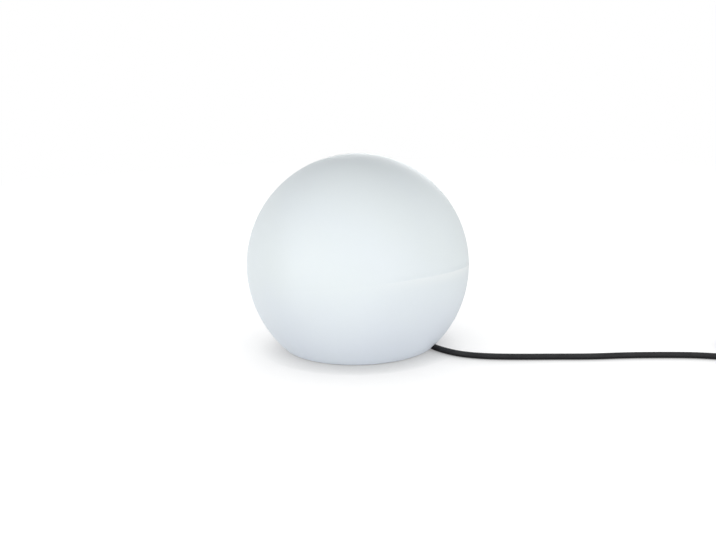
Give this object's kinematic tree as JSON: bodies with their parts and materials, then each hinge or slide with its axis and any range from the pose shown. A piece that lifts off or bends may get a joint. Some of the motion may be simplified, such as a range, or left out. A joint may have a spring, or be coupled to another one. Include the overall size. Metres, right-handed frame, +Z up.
{
  "type": "garden globe light",
  "caption": "Frosted plastic ball light with a flat foot, a screw-in bulb inside and a black rubber cord that ends in a round plug.",
  "frame": {"origin": "centre of the foot, on the surface that the light stands on", "axes": "+Z up; -Y towards the viewer of the picture; the cord leaves towards +X"},
  "size_m": [0.787, 0.3014, 0.2596],
  "materials": {
    "opal_globe": "satin",
    "brass": "satin",
    "white_moulding": "satin",
    "seal_rubber": "matte",
    "stainless": "satin",
    "gland_plastic": "satin",
    "cord_rubber": "matte",
    "core_brown": "satin",
    "core_blue": "satin",
    "core_green": "satin",
    "terminal_plastic": "satin",
    "zinc_steel": "satin",
    "holder_plastic": "gloss",
    "ceramic": "matte",
    "solder": "satin",
    "cap_insulator": "gloss",
    "bulb_cap_metal": "satin",
    "bulb_plastic": "gloss",
    "bulb_opal": "matte",
    "board_aluminium": "matte",
    "led_yellow": "gloss",
    "board_green": "gloss",
    "tie_plastic": "matte",
    "plug_rubber": "matte",
    "nickel_brass": "gloss"
  },
  "bodies": {
    "lamp_unit": {"base_plate": "white_moulding", "wiring_cover": "white_moulding", "cover_seal": "seal_rubber", "cover_screws": "stainless", "plate_gasket": "seal_rubber", "plate_screws": "stainless", "screw_washers": "stainless", "rubber_feet": "seal_rubber", "gland_washer": "seal_rubber", "gland_body": "gland_plastic", "gland_seal": "seal_rubber", "gland_nut": "gland_plastic", "cord_inner": "cord_rubber", "core_live": "core_brown", "core_neutral": "core_blue", "core_earth": "core_green", "lead_live": "core_brown", "lead_neutral": "core_blue", "lead_earth": "core_green", "terminal_block": "terminal_plastic", "terminal_clamps": "brass", "terminal_screws": "stainless", "lampholder_bracket": "zinc_steel", "bracket_screws": "stainless", "nipple": "zinc_steel", "nipple_nut": "zinc_steel", "lampholder_cap": "holder_plastic", "lampholder_skirt": "holder_plastic", "lampholder_insert": "ceramic", "screw_shell": "brass", "centre_contact": "brass", "cord_lead": "cord_rubber", "cord_coil": "cord_rubber", "cord_tail": "cord_rubber", "coil_ties": "tie_plastic", "plug_sleeve": "plug_rubber", "plug_body": "plug_rubber", "plug_pins": "nickel_brass", "plug_earth_strips": "nickel_brass"},
    "globe": {"globe_shell": "opal_globe", "insert_nuts": "brass"},
    "bulb": {"bulb_contact": "solder", "bulb_insulator": "cap_insulator", "bulb_screw_cap": "bulb_cap_metal", "bulb_housing": "bulb_plastic", "bulb_diffuser": "bulb_opal", "led_board": "board_aluminium", "led_chips": "led_yellow", "driver_board": "board_green"}
  },
  "joints": [
    {"name": "globe_lift", "type": "slide", "parent": "lamp_unit", "child": "globe", "axis": [0, 0, 1], "range_m": [0, 0.21]},
    {"name": "bulb_draw", "type": "slide", "parent": "lamp_unit", "child": "bulb", "axis": [0, 0, 1], "range_m": [0, 0.028]}
  ]
}
